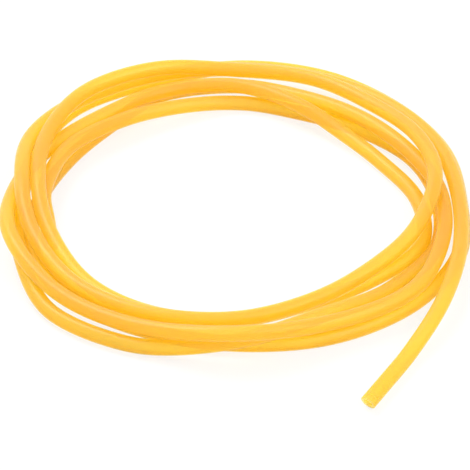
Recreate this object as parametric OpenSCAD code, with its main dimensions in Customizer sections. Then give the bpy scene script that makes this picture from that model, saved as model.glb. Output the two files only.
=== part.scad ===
// Amber rubber tubing: one hollow length that lies in a loose coil, with one end led out from it.
// The origin is at the middle of the footprint, on the surface that the coil lies on.

/* [Tube] */
// Outside diameter of the tube
tube_d = 6; // [5:0.25:8]
// Thickness of the tube's wall
wall = 1; // [0.75:0.25:1.5]
// Slant of the cut across the free end, in degrees from square
cut_slant = 24; // [0:1:30]

/* [Coil] */
// Radius of the middle of the coil's turns
ring_r = 83; // [80:1:100]
// Length of the straight stretch at each end
end_l = 12; // [10:1:14]

/* [Smoothness] */
// Flat sides round the outside of the curved part
sides = 12; // [8:4:12]
// Rings along each stretch between two route points
rings_per_step = 2.75; // [2:0.25:3]

/* [Hidden] */

bore_d = tube_d - 2 * wall;

// The cut leans down and a little to one side, turned this far about the tube
cut_turn = 20;
bore_sides = 8;
step_angle = 22.5;
round_fn = 48;

// The curved part's corners keep this far inside the round ends, which reach this far over it
corner_inset = 0.02;
end_lap = 0.3;

// How far the middle line lies outside the middle radius, in tube diameters: one row a turn,
// at sixteen headings a turn, from the turn that the free end leads into
turn_offset = [
    [0.53, 0.48, 0.62, 0.75, 0.85, 0.65, 0.8, 0.65, 0, 0.15, 0.45, 0.35, -0.35, -1.25, -1.7, -1.4],
    [-0.9, -0.9, -0.87, -0.22, -0.2, 0.15, 0.3, -0.45, -1.05, -1, -0.75, -0.85, -1.3, -2.05, -1.8, -1.03],
    [-1.95, -3.2, -3.6, -3.2, -1.8, -1.35, -1.7, -0.7, 0.4, 1.65, 1.85, 1.95, 2.45, 1.6, 1.65, 0.43],
    [-0.63, -1.7, -2.2, -2.1, -0.85, -0.5, -1.8, -1.85, -1.05, 0.2, 0.8, 0.85, 1.1, 1.6, 1.75, 1.55],
    [0.77, 1.12, 1.4, 1.93, 1.9, 1.25, 1.38, 0.6, 0.1, 1.12, 2.6, 2.5, 1.95, 0.45, -0.3, -0.02],
    [-0.65, -1.2, -2.2, -2.75, -2.45, -2.9, -2.75, -1.85, -1.45]];

// How far the turns under it lift each turn, in tube diameters
turn_lift = [
    [1, 0.9, 0.7, 0.6, 0.55, 0.9, 1, 1.5, 2.1, 1.55, 1, 0.95, 0.8, 0.85, 1.05, 1.35],
    [2.05, 1.85, 1.4, 1.2, 1.2, 1.8, 1.95, 1.9, 1.88, 1.25, 0.3, 0, 0, 0, 0, 0],
    [0, 0, 0.3, 1, 1, 0.85, 1.05, 0.88, 1.12, 1.77, 1.03, 1.1, 1.86, 1.15, 1, 0.97],
    [1.01, 1, 1.05, 0.85, 0.3, 0, 0, 0, 0, 0, 0, 0, 0, 0, 0, 0],
    [0, 0, 0, 0, 0, 0, 0, 0, 0, 0.76, 0, 0, 0.87, 0.93, 0, 0],
    [0, 0, 0, 0, 0, 0.5, 0.9, 1.02, 0.96]];

// Heading, offset and lift of the route points outside the turns
free_lead = [[-64.7, 7.08, 0], [-57.2, 5.48, 0], [-42.5, 3.58, 0.8], [-23.5, 1.72, 1.05]];
hidden_lead = [[194, -1.42, 0.42]];

turn_points = [for (t = [0:len(turn_offset) - 1]) for (i = [0:len(turn_offset[t]) - 1])
    [i * step_angle, turn_offset[t][i], turn_lift[t][i]]];
route = concat(free_lead, turn_points, hidden_lead);

function place(q) =
    let (r = ring_r + q[1] * tube_d)
    [r * cos(q[0]), r * sin(q[0]), (q[2] + 0.5) * tube_d];
function unit(v) = v / norm(v);

// A smooth curve through the route points, nowhere lower than a tube that lies flat
knots = [for (q = route) place(q)];
last = len(knots) - 1;
function knot(i) =
    i < 0 ? 2 * knots[0] - knots[1] : i > last ? 2 * knots[last] - knots[last - 1] : knots[i];
function blend(a, b, c, d, f) =
    (2 * b + (c - a) * f + (2 * a - 5 * b + 4 * c - d) * f * f + (3 * b - a - 3 * c + d) * f * f * f) / 2;
function on_curve(u) =
    let (i = min(floor(u), last - 1), p = blend(knot(i - 1), knot(i), knot(i + 1), knot(i + 2), u - i))
    [p[0], p[1], max(p[2], tube_d / 2)];
stop = round(last * rings_per_step);
line = [for (k = [0:stop]) on_curve(k * last / stop)];

// The straight ends run on from the curved part
free_way = unit(line[0] - line[1]);
hidden_way = unit(line[stop] - line[stop - 1]);
function way(k) =
    k == 0 ? -free_way : k == stop ? hidden_way : unit(line[k + 1] - line[k - 1]);

// The middle of the footprint, which the free end's cut tip bounds at the front
slope = tan(cut_slant);
tip_reach = tube_d / 2
    * norm([free_way[0] + slope * free_way[1] * sin(cut_turn), slope * free_way[1] * cos(cut_turn)]);
xs = [for (p = line) p[0]];
ys = [for (p = line) p[1]];
front = line[0][1] + end_l * free_way[1] - tip_reach;
middle = [(max(xs) + min(xs)) / 2, (max(ys) + tube_d / 2 + front) / 2, 0];

// One ring of corners across the tube, with a corner at the bottom
function corners(k, r, n) =
    let (t = way(k), side = unit(cross(t, [0, 0, 1])), up = cross(side, t))
    [for (j = [0:n - 1]) line[k] + r * (cos(360 * j / n) * side + sin(360 * j / n) * up)];

// The corner numbers of one row of wall faces, the outside's and then the bore's
bore_start = (stop + 1) * sides;
function outside_row(k) = [for (j = [0:sides - 1]) each
    let (a = k * sides + j, b = k * sides + (j + 1) % sides)
    [[a, b, b + sides], [a, b + sides, a + sides]]];
function bore_row(k) = [for (j = [0:bore_sides - 1]) each
    let (a = bore_start + k * bore_sides + j, b = bore_start + k * bore_sides + (j + 1) % bore_sides)
    [[a, b + bore_sides, b], [a, a + bore_sides, b + bore_sides]]];

// A quarter of the ring-shaped face that closes the wall at row k
function quarter(k, q) =
    let (s = sides / 4, b = bore_sides / 4, bore = bore_start + k * bore_sides)
    concat([bore + q * b + 1, bore + q * b],
        [for (j = [0:s]) k * sides + (q * s + j) % sides],
        [bore + (q * b + b) % bore_sides]);
function turned(face) = concat([face[0]], [for (i = [len(face) - 1:-1:1]) face[i]]);

// The whole curved part, a hollow solid
module curved_part() {
    points = concat(
        [for (k = [0:stop]) each corners(k, tube_d / 2 - corner_inset, sides)],
        [for (k = [0:stop]) each corners(k, bore_d / 2 - corner_inset, bore_sides)]);
    faces = concat(
        [for (k = [0:stop - 1]) each outside_row(k)],
        [for (k = [0:stop - 1]) each bore_row(k)],
        [for (q = [0:3]) turned(quarter(0, q))],
        [for (q = [0:3]) quarter(stop, q)]);
    polyhedron(points, faces);
}

// A round, straight end that leads away from a point, cut across at the given slant
module round_end(from, heading, slant) {
    translate(from) rotate([0, acos(heading[2]), atan2(heading[1], heading[0])]) difference() {
        translate([0, 0, -end_lap]) cylinder(d = tube_d, h = end_l + end_lap + tube_d, $fn = round_fn);
        translate([0, 0, -tube_d]) cylinder(d = bore_d, h = end_l + 3 * tube_d, $fn = round_fn);
        translate([0, 0, end_l]) rotate([0, slant, -cut_turn]) translate([-tube_d, -tube_d, 0])
            cube([2 * tube_d, 2 * tube_d, 3 * tube_d]);
    }
}

module tubing() {
    color([1, 0.8, 0.35])
        translate(-middle)
            union() {
                curved_part();
                round_end(line[0], free_way, cut_slant);
                round_end(line[stop], hidden_way, 0);
            }
}

tubing();
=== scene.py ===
import math

import bpy
import numpy as np
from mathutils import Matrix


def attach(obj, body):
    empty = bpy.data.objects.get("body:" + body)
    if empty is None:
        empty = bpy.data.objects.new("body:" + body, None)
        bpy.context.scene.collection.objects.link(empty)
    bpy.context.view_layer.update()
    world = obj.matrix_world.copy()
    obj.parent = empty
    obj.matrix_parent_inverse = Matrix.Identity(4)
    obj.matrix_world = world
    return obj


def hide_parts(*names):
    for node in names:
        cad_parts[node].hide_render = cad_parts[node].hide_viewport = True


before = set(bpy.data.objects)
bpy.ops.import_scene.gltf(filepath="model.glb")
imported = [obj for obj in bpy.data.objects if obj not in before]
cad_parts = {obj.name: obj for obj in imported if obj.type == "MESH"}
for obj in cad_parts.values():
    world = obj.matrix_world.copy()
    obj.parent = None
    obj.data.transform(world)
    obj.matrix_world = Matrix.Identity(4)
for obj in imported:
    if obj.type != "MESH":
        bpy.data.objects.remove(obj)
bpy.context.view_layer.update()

# Sizes of the tube and of its coil, in metres, and the slanted cut across the free end
TUBE_D = 0.006
BORE_D = 0.004
RING_R = 0.083
END_L = 0.012
CUT_SLANT = math.radians(24)
CUT_TURN = math.radians(20)

# Degrees between the route's headings, and rings a step on the curve that the solid follows
STEP_ANGLE = 22.5
CAD_RINGS_PER_STEP = 2.75

# Route of the middle line: how far it lies outside the middle radius, in tube diameters,
# one row a turn, at sixteen headings a turn
TURN_OFFSET = [
    [0.53, 0.48, 0.62, 0.75, 0.85, 0.65, 0.8, 0.65,
     0, 0.15, 0.45, 0.35, -0.35, -1.25, -1.7, -1.4],
    [-0.9, -0.9, -0.87, -0.22, -0.2, 0.15, 0.3, -0.45,
     -1.05, -1, -0.75, -0.85, -1.3, -2.05, -1.8, -1.03],
    [-1.95, -3.2, -3.6, -3.2, -1.8, -1.35, -1.7, -0.7,
     0.4, 1.65, 1.85, 1.95, 2.45, 1.6, 1.65, 0.43],
    [-0.63, -1.7, -2.2, -2.1, -0.85, -0.5, -1.8, -1.85,
     -1.05, 0.2, 0.8, 0.85, 1.1, 1.6, 1.75, 1.55],
    [0.77, 1.12, 1.4, 1.93, 1.9, 1.25, 1.38, 0.6,
     0.1, 1.12, 2.6, 2.5, 1.95, 0.45, -0.3, -0.02],
    [-0.65, -1.2, -2.2, -2.75, -2.45, -2.9, -2.75, -1.85,
     -1.45]]

# Lift off the surface at the same headings, in tube diameters
TURN_LIFT = [
    [1, 0.9, 0.7, 0.6, 0.55, 0.9, 1, 1.5,
     2.1, 1.55, 1, 0.95, 0.8, 0.85, 1.05, 1.35],
    [2.05, 1.85, 1.4, 1.2, 1.2, 1.8, 1.95, 1.9,
     1.88, 1.25, 0.3, 0, 0, 0, 0, 0],
    [0, 0, 0.3, 1, 1, 0.85, 1.05, 0.88,
     1.12, 1.77, 1.03, 1.1, 1.86, 1.15, 1, 0.97],
    [1.01, 1, 1.05, 0.85, 0.3, 0, 0, 0,
     0, 0, 0, 0, 0, 0, 0, 0],
    [0, 0, 0, 0, 0, 0, 0, 0,
     0, 0.76, 0, 0, 0.87, 0.93, 0, 0],
    [0, 0, 0, 0, 0, 0.5, 0.9, 1.02,
     0.96]]

# Heading, offset and lift of the route points outside the turns
FREE_LEAD = [[-64.7, 7.08, 0], [-57.2, 5.48, 0], [-42.5, 3.58, 0.8], [-23.5, 1.72, 1.05]]
HIDDEN_LEAD = [[194, -1.42, 0.42]]

# The camera, with the picture's side, the tube's width and the shift in pixels of the picture
PICTURE = 470
TUBE_PIXELS = 15.35
SHIFT_PIXELS = (-0.5, -27.5)
CAM_SENSOR = 36
CAM_ELEVATION = math.radians(36)
CAM_DISTANCE = 1.29

# Fineness of the tube's mesh
RINGS_PER_STEP = 12
END_RINGS = 12
OUT_SIDES = 32
BORE_SIDES = 20
EASE_PASSES = 3

# Softened edges of the cuts: how far each row lies in from the wall and back from the cut,
# in shares of CUT_ROUND, from the cut on
CUT_ROUND = 0.00012
ROUNDED_EDGE = ((1, 0), (0.3, 0.3), (0, 1))
PLAIN_EDGE = ((1, 0), (0, 1))

# Painted light in the bore: a pale cream colour that stands in for the light seen inside the open
# ends; how much lies at its ends, and how far in it thins out to nothing
PAINTED_BORE_LIGHT = 0.7
PAINTED_BORE_LIGHT_REACH = 0.006
PAINTED_BORE_LIGHT_COLOR = (1, 0.95, 0.6, 1)

# Noises of the rubber: lines that its die draws, as cells a metre along it and cells round it,
# clouds in it, and dust on its skin. Of each noise, the range named here is spread out
LINE_CELLS = (9, 26, 1)
LINE_SCALE = 1
LINE_DETAIL = 4
CLOUD_SCALE = 55
DUST_SCALE = 700
FINE_DETAIL = 3
NOISE_RANGE = (0.3, 0.7)

# Skin of the rubber: what the noises run between, and how it bends, lets through and throws light
TONES = ((1.0, 0.74, 0.19, 1), (1.0, 0.8, 0.25, 1))
HAZE = (0.04, 0.08)
ROUGHNESS = (0.36, 0.44)
BUMP_STRENGTH = 0.05
BUMP_HEIGHT = 0.0002
CLEAR_COLOR = (1, 0.99, 0.93, 1)
BODY_IOR = 1.4
GLOW_SHARE = 0.5
SHINE_IOR = 1.5
SHINE_SHARE = 0.6

# Inside of the rubber: what it swallows of the light, and what it scatters, mostly forward
DEPTH_COLOR = (0.993, 0.915, 0.1, 1)
DEPTH_DENSITY = 1200
MILK_DENSITY = 480
MILK_FORWARD = 0.55

# Floor and room, with the share of plain white that the camera sees on the floor
WHITE = (1, 1, 1, 1)
FLOOR_SIDE = 4.0
FLOOR_DROP = 0.0001
FLOOR_COLOR = (0.85, 0.85, 0.85, 1)
FLOOR_WHITE = 0.8
ROOM_STRENGTH = 0.75
BACKDROP_STRENGTH = 1

# Name, place, width and power of each soft light
LIGHTS = (("key", (-0.5, 0.5, 1.1), 0.7, 12),
          ("fill", (0.7, -0.5, 0.9), 0.8, 6))

# How often light may pass clear skin, turn in all, and turn inside the rubber
CLEAR_BOUNCES = 96
ALL_BOUNCES = 16
INSIDE_BOUNCES = 16


def unit(v):
    """A vector, or each row of an array, at length 1."""
    return v / np.linalg.norm(v, axis=-1, keepdims=True)


def place(heading, offset, lift):
    """A route point in metres, round the middle of the turns."""
    a = math.radians(heading)
    r = RING_R + offset * TUBE_D
    return [r * math.cos(a), r * math.sin(a), (lift + 0.5) * TUBE_D]


def route_knots():
    """All route points, from the free end to the hidden one."""
    points = [place(*q) for q in FREE_LEAD]
    for offsets, lifts in zip(TURN_OFFSET, TURN_LIFT):
        points += [place(i * STEP_ANGLE, o, z) for i, (o, z) in enumerate(zip(offsets, lifts))]
    return np.array(points + [place(*q) for q in HIDDEN_LEAD])


def smooth_curve(knots, per_step):
    """Points of the smooth curve through the knots, nowhere lower than a tube that lies flat."""
    ext = np.vstack([2 * knots[0] - knots[1], knots, 2 * knots[-1] - knots[-2]])
    last = len(knots) - 1
    u = np.linspace(0, last, round(last * per_step) + 1)
    i = np.minimum(u.astype(int), last - 1)
    f = (u - i)[:, None]
    a, b, c, d = ext[i], ext[i + 1], ext[i + 2], ext[i + 3]
    line = (2 * b + (c - a) * f + (2 * a - 5 * b + 4 * c - d) * f ** 2
            + (3 * b - a - 3 * c + d) * f ** 3) / 2
    line[:, 2] = np.maximum(line[:, 2], TUBE_D / 2)
    return line


def eased(line):
    """A line with the last unevenness taken out of its bends; its ends stay."""
    line = line.copy()
    for _ in range(EASE_PASSES):
        line[1:-1] += (line[:-2] + line[2:] - 2 * line[1:-1]) / 4
    line[:, 2] = np.maximum(line[:, 2], TUBE_D / 2)
    return line


def footprint_middle(knots):
    """The middle of the footprint, worked out on the coarser curve that the solid follows."""
    line = smooth_curve(knots, CAD_RINGS_PER_STEP)
    out = unit(line[0] - line[1])
    slope = math.tan(CUT_SLANT)
    reach = TUBE_D / 2 * math.hypot(out[0] + slope * out[1] * math.sin(CUT_TURN),
                                    slope * out[1] * math.cos(CUT_TURN))
    front = line[0, 1] + END_L * out[1] - reach
    return np.array([(line[:, 0].max() + line[:, 0].min()) / 2,
                     (line[:, 1].max() + TUBE_D / 2 + front) / 2, 0])


def add_object(name, data):
    """A new object in the scene, of a mesh, a camera or a light."""
    obj = bpy.data.objects.new(name, data)
    bpy.context.scene.collection.objects.link(obj)
    return obj


def set_camera(aim):
    """The camera at the photograph's viewing angle, aimed at a point on the floor."""
    data = bpy.data.cameras.new("camera")
    data.sensor_width = CAM_SENSOR
    data.lens = TUBE_PIXELS / TUBE_D * CAM_DISTANCE / PICTURE * CAM_SENSOR
    data.shift_x, data.shift_y = (pixels / PICTURE for pixels in SHIFT_PIXELS)
    cam = add_object("camera", data)
    cam.rotation_euler = (math.pi / 2 - CAM_ELEVATION, 0, 0)
    cam.location = (aim[0],
                    aim[1] - CAM_DISTANCE * math.cos(CAM_ELEVATION),
                    CAM_DISTANCE * math.sin(CAM_ELEVATION))
    bpy.context.scene.camera = cam


# The camera looks at the middle of the turns, and the model stands on the middle of its footprint
knots = route_knots()
middle = footprint_middle(knots)
set_camera(-middle)

# Middle line of the whole tube with its straight ends, and its directions at each ring
curve = eased(smooth_curve(knots, RINGS_PER_STEP)) - middle
free_way = unit(curve[0] - curve[1])
hidden_way = unit(curve[-1] - curve[-2])
lead = [curve[0] + free_way * END_L * k / END_RINGS for k in range(END_RINGS, 0, -1)]
trail = [curve[-1] + hidden_way * END_L * k / END_RINGS for k in range(1, END_RINGS + 1)]
path = np.vstack([lead, curve, trail])
way = unit(np.gradient(path, axis=0))
side = unit(np.cross(way, [0, 0, 1]))
up = np.cross(side, way)
steps = np.linalg.norm(np.diff(path, axis=0), axis=1)
run = np.r_[0, np.cumsum(steps)]


def ring(k, radius, sides, back):
    """Corners of one ring, moved along the tube by back.

    The free end's rings lean as its cut does, less and less along the straight end.
    """
    a = 2 * math.pi * np.arange(sides) / sides
    corners = path[k] + radius * (np.cos(a)[:, None] * side[k] + np.sin(a)[:, None] * up[k])
    lean = max(0.0, 1 - k / END_RINGS)
    ahead = radius * math.tan(CUT_SLANT) * lean * np.cos(a - math.pi / 2 + CUT_TURN)
    return corners - way[k] * (ahead - back)[:, None]


def wall_corners(radius, sides, inward, free_edge):
    """Corners and UVs of one face of the wall, row by row from the free end to the hidden one."""
    last = len(path) - 1
    rows = [(0, inset, back) for inset, back in free_edge]
    rows += [(k, 0, 0) for k in range(1, last)]
    rows += [(last, inset, -back) for inset, back in reversed(PLAIN_EDGE)]
    corners = [ring(k, radius - inward * inset * CUT_ROUND, sides, back * CUT_ROUND)
               for k, inset, back in rows]
    uvs = [np.column_stack([np.full(sides, run[k]), np.arange(sides) / sides])
           for k, _, _ in rows]
    return np.vstack(corners), np.vstack(uvs)


def side_faces(start, stop, sides, flip):
    """Faces between the rows of one face of the wall, whose corners are start to stop."""
    faces = []
    for row in range(start, stop - sides, sides):
        for j in range(sides):
            n = (j + 1) % sides
            quad = (row + j, row + sides + j, row + sides + n, row + n)
            faces.append(quad[::-1] if flip else quad)
    return faces


def cap_faces(out_row, bore_row, flip):
    """Triangles between an end row of the outside and the bore's, which has fewer corners."""
    faces = []
    i = j = 0
    while i < OUT_SIDES or j < BORE_SIDES:
        o, b = out_row + i % OUT_SIDES, bore_row + j % BORE_SIDES
        out_is_next = (i + 1) / OUT_SIDES <= (j + 1) / BORE_SIDES
        if j == BORE_SIDES or (i < OUT_SIDES and out_is_next):
            i += 1
            tri = (o, out_row + i % OUT_SIDES, b)
        else:
            j += 1
            tri = (o, bore_row + j % BORE_SIDES, b)
        faces.append(tri[::-1] if flip else tri)
    return faces


def lay_uvs(mesh, uvs):
    """Gives the faces their UVs; a face across the seam runs on past 1, not back to 0."""
    loop_verts = np.empty(len(mesh.loops), dtype=np.int32)
    starts = np.empty(len(mesh.polygons), dtype=np.int32)
    totals = np.empty(len(mesh.polygons), dtype=np.int32)
    mesh.loops.foreach_get("vertex_index", loop_verts)
    mesh.polygons.foreach_get("loop_start", starts)
    mesh.polygons.foreach_get("loop_total", totals)
    uv = uvs[loop_verts]
    half_round = 0.5
    for first, count in zip(starts, totals):
        v = uv[first:first + count, 1]
        if v.max() - v.min() > half_round:
            v[v < half_round] += 1
    layer = mesh.uv_layers.new(name="UVMap")
    layer.data.foreach_set("uv", uv.astype(np.float32).ravel())


def tube_mesh(name):
    """The tube: one wall with an outside, a bore and two cut ends."""
    out_corners, out_uvs = wall_corners(TUBE_D / 2, OUT_SIDES, 1, ROUNDED_EDGE)
    bore_corners, bore_uvs = wall_corners(BORE_D / 2, BORE_SIDES, -1, PLAIN_EDGE)
    bore_start = len(out_corners)
    stop = bore_start + len(bore_corners)
    faces = side_faces(0, bore_start, OUT_SIDES, False)
    faces += side_faces(bore_start, stop, BORE_SIDES, True)
    faces += cap_faces(0, bore_start, False)
    faces += cap_faces(bore_start - OUT_SIDES, stop - BORE_SIDES, True)
    mesh = bpy.data.meshes.new(name)
    mesh.from_pydata(np.vstack([out_corners, bore_corners]).tolist(), [], faces)
    mesh.validate()
    uvs = np.vstack([out_uvs, bore_uvs])
    lay_uvs(mesh, uvs)

    # Painted light: a pale colour that stands in for the light seen inside the open ends, in the
    # bore alone
    from_end = np.minimum(uvs[:, 0], run[-1] - uvs[:, 0])
    painted_bore_light = PAINTED_BORE_LIGHT * np.clip(1 - from_end / PAINTED_BORE_LIGHT_REACH, 0, 1)
    painted_bore_light[:bore_start] = 0
    mesh.attributes.new("painted_bore_light", "FLOAT", "POINT").data.foreach_set("value", painted_bore_light)
    mesh.shade_smooth()
    mesh.update()
    return mesh


def node(tree, kind, at, inputs=None, **settings):
    """A shader node at a place in its tree, with the values of its sockets and its settings."""
    n = tree.nodes.new(kind)
    n.location = at
    for key, value in settings.items():
        setattr(n, key, value)
    for socket, value in (inputs or {}).items():
        n.inputs[socket].default_value = value
    return n


def wire(tree, *wires):
    """Links, each given as a node, its output, the node that it leads to and that one's input."""
    for source, output, target, socket in wires:
        tree.links.new(source.outputs[output], target.inputs[socket])


def empty_tree(owner):
    """The node tree of a material or world, with no nodes yet."""
    owner.use_nodes = True
    owner.node_tree.nodes.clear()
    return owner.node_tree


def noise(tree, at, scale, detail, source, output):
    """A noise over the places that a node's output gives."""
    n = node(tree, "ShaderNodeTexNoise", at, {"Scale": scale, "Detail": detail})
    wire(tree, (source, output, n, "Vector"))
    return n


def spread(tree, at, source, ends):
    """A noise's range spread from one value to another."""
    n = node(tree, "ShaderNodeMapRange", at,
             {"From Min": NOISE_RANGE[0], "From Max": NOISE_RANGE[1],
              "To Min": ends[0], "To Max": ends[1]})
    wire(tree, (source, "Fac", n, "Value"))
    return n


def amber_rubber():
    """Cloudy amber rubber: a clear skin with some haze, and a volume that tints and scatters."""
    mat = bpy.data.materials.new("amber_rubber")
    t = empty_tree(mat)
    out = node(t, "ShaderNodeOutputMaterial", (900, 0))
    uv = node(t, "ShaderNodeUVMap", (-1300, 0), uv_map="UVMap")
    obj = node(t, "ShaderNodeTexCoord", (-1300, -400))

    # Fine lines drawn along the tube by the die, clouds in the rubber and dust on its skin
    stretch = node(t, "ShaderNodeMapping", (-1100, 0), {"Scale": LINE_CELLS})
    wire(t, (uv, "UV", stretch, "Vector"))
    lines = noise(t, (-900, 0), LINE_SCALE, LINE_DETAIL, stretch, "Vector")
    cloud = noise(t, (-900, -300), CLOUD_SCALE, FINE_DETAIL, obj, "Object")
    dust = noise(t, (-900, -600), DUST_SCALE, FINE_DETAIL, obj, "Object")
    haze = spread(t, (-600, -200), cloud, HAZE)
    rough = spread(t, (-600, -500), dust, ROUGHNESS)
    tone = node(t, "ShaderNodeValToRGB", (-600, 100))
    for stop, position, color in zip(tone.color_ramp.elements, NOISE_RANGE, TONES):
        stop.position = position
        stop.color = color
    bump = node(t, "ShaderNodeBump", (-350, -650),
                {"Strength": BUMP_STRENGTH, "Distance": BUMP_HEIGHT})
    wire(t, (lines, "Fac", tone, "Fac"), (lines, "Fac", bump, "Height"))

    # Painted light just inside the open ends: a pale colour that stands in for the light seen in
    # the bore; a colour mix's sockets have numbers, since its names stand for several
    mix_fac, mix_a, mix_b, mix_result = 0, 6, 7, 2
    painted_bore_light = node(t, "ShaderNodeAttribute", (-900, -850), attribute_name="painted_bore_light")
    tone_and_painted_bore_light = node(t, "ShaderNodeMix", (-400, 150), data_type="RGBA")
    tone_and_painted_bore_light.inputs[mix_b].default_value = PAINTED_BORE_LIGHT_COLOR
    haze_and_painted_bore_light = node(t, "ShaderNodeMath", (200, 250), operation="MAXIMUM")
    wire(t, (painted_bore_light, "Fac", tone_and_painted_bore_light, mix_fac), (tone, "Color", tone_and_painted_bore_light, mix_a),
         (haze, "Result", haze_and_painted_bore_light, 0), (painted_bore_light, "Fac", haze_and_painted_bore_light, 1))

    # Skin: clear, but for the haze and the painted bore light, which are matt and let light glow
    # through
    clear = node(t, "ShaderNodeBsdfTransparent", (0, 200), {"Color": CLEAR_COLOR})
    body = node(t, "ShaderNodeBsdfPrincipled", (-250, 0), {"IOR": BODY_IOR})
    glow = node(t, "ShaderNodeBsdfTranslucent", (0, -250))
    milky = node(t, "ShaderNodeMixShader", (200, -100), {"Fac": GLOW_SHARE})
    skin = node(t, "ShaderNodeMixShader", (420, 50))
    wire(t, (tone_and_painted_bore_light, mix_result, body, "Base Color"), (rough, "Result", body, "Roughness"),
         (bump, "Normal", body, "Normal"), (tone_and_painted_bore_light, mix_result, glow, "Color"),
         (body, "BSDF", milky, 1), (glow, "BSDF", milky, 2),
         (haze_and_painted_bore_light, "Value", skin, "Fac"), (clear, "BSDF", skin, 1), (milky, "Shader", skin, 2))

    # Satin shine on the faces that light meets first, and none on their backs
    fresnel = node(t, "ShaderNodeFresnel", (100, 400), {"IOR": SHINE_IOR})
    geo = node(t, "ShaderNodeNewGeometry", (100, 600))
    front = node(t, "ShaderNodeMath", (280, 600), {1: -SHINE_SHARE, 2: SHINE_SHARE},
                 operation="MULTIPLY_ADD")
    shine = node(t, "ShaderNodeMath", (460, 450), operation="MULTIPLY")
    gloss = node(t, "ShaderNodeBsdfAnisotropic", (420, -200))
    final = node(t, "ShaderNodeMixShader", (680, 50))
    wire(t, (geo, "Backfacing", front, 0), (fresnel, "Fac", shine, 0), (front, "Value", shine, 1),
         (rough, "Result", gloss, "Roughness"), (bump, "Normal", gloss, "Normal"),
         (shine, "Value", final, "Fac"), (skin, "Shader", final, 1), (gloss, "BSDF", final, 2),
         (final, "Shader", out, "Surface"))

    # The colour deepens with the rubber that light goes through, and the rubber is milky
    depth = node(t, "ShaderNodeVolumeAbsorption", (680, -250),
                 {"Color": DEPTH_COLOR, "Density": DEPTH_DENSITY})
    milk = node(t, "ShaderNodeVolumeScatter", (680, -400),
                {"Color": WHITE, "Density": MILK_DENSITY, "Anisotropy": MILK_FORWARD})
    both = node(t, "ShaderNodeAddShader", (860, -300))
    wire(t, (depth, "Volume", both, 0), (milk, "Volume", both, 1),
         (both, "Shader", out, "Volume"))
    return mat


def seen_directly(tree):
    """A node that gives 1 to the camera, a shine or a clear piece, and 0 to light on the object."""
    rays = node(tree, "ShaderNodeLightPath", (-500, 300))
    either = node(tree, "ShaderNodeMath", (-300, 300), operation="MAXIMUM")
    any_of_three = node(tree, "ShaderNodeMath", (-100, 300), operation="MAXIMUM")
    wire(tree, (rays, "Is Camera Ray", either, 0), (rays, "Is Glossy Ray", either, 1),
         (either, "Value", any_of_three, 0), (rays, "Is Transmission Ray", any_of_three, 1))
    return any_of_three


def floor_paint():
    """Pale matt paint that the camera sees as mostly plain white, with the coil's shadow."""
    mat = bpy.data.materials.new("floor_paint")
    t = empty_tree(mat)
    out = node(t, "ShaderNodeOutputMaterial", (600, 0))
    matt = node(t, "ShaderNodeBsdfDiffuse", (0, 100), {"Color": FLOOR_COLOR})
    white = node(t, "ShaderNodeEmission", (0, -100))
    share = node(t, "ShaderNodeMath", (200, 300), {1: FLOOR_WHITE}, operation="MULTIPLY")
    mix = node(t, "ShaderNodeMixShader", (400, 0))
    wire(t, (seen_directly(t), "Value", share, 0), (share, "Value", mix, "Fac"),
         (matt, "BSDF", mix, 1), (white, "Emission", mix, 2), (mix, "Shader", out, "Surface"))
    return mat


def set_world():
    """A soft, even room that the camera sees as plain white."""
    world = bpy.data.worlds.new("studio")
    t = empty_tree(world)
    out = node(t, "ShaderNodeOutputWorld", (600, 0))
    room = node(t, "ShaderNodeBackground", (0, 100), {"Color": WHITE, "Strength": ROOM_STRENGTH})
    backdrop = node(t, "ShaderNodeBackground", (0, -100),
                    {"Color": WHITE, "Strength": BACKDROP_STRENGTH})
    mix = node(t, "ShaderNodeMixShader", (400, 0))
    wire(t, (seen_directly(t), "Value", mix, "Fac"), (room, "Background", mix, 1),
         (backdrop, "Background", mix, 2), (mix, "Shader", out, "Surface"))
    bpy.context.scene.world = world


def soft_light(name, at, width, power):
    """A round soft light, turned to the middle of the floor."""
    data = bpy.data.lights.new(name, "AREA")
    data.shape = "DISK"
    data.size = width
    data.energy = power
    light = add_object(name, data)
    light.location = at
    aim = -np.array(at)
    yaw = math.atan2(aim[1], aim[0]) - math.pi / 2
    drop = math.acos(-aim[2] / np.linalg.norm(aim))
    light.rotation_euler = (drop, 0, yaw)


# The tube
mesh = tube_mesh("amber_tube")
mesh.materials.append(amber_rubber())
tube = add_object("amber_tube", mesh)
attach(tube, "root")
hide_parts("tubing")

# Plain floor, a hair under the tube, that keeps the coil's shadow
floor_mesh = bpy.data.meshes.new("floor")
h = FLOOR_SIDE / 2
floor_mesh.from_pydata([(-h, -h, 0), (h, -h, 0), (h, h, 0), (-h, h, 0)], [], [(0, 1, 2, 3)])
floor_mesh.materials.append(floor_paint())
floor = add_object("floor", floor_mesh)
floor.location = (0, 0, -FLOOR_DROP)

# Light and the way that it is worked out
set_world()
for light in LIGHTS:
    soft_light(*light)
scene = bpy.context.scene
scene.view_settings.view_transform = "Standard"
scene.cycles.transparent_max_bounces = CLEAR_BOUNCES
scene.cycles.max_bounces = ALL_BOUNCES
scene.cycles.volume_bounces = INSIDE_BOUNCES
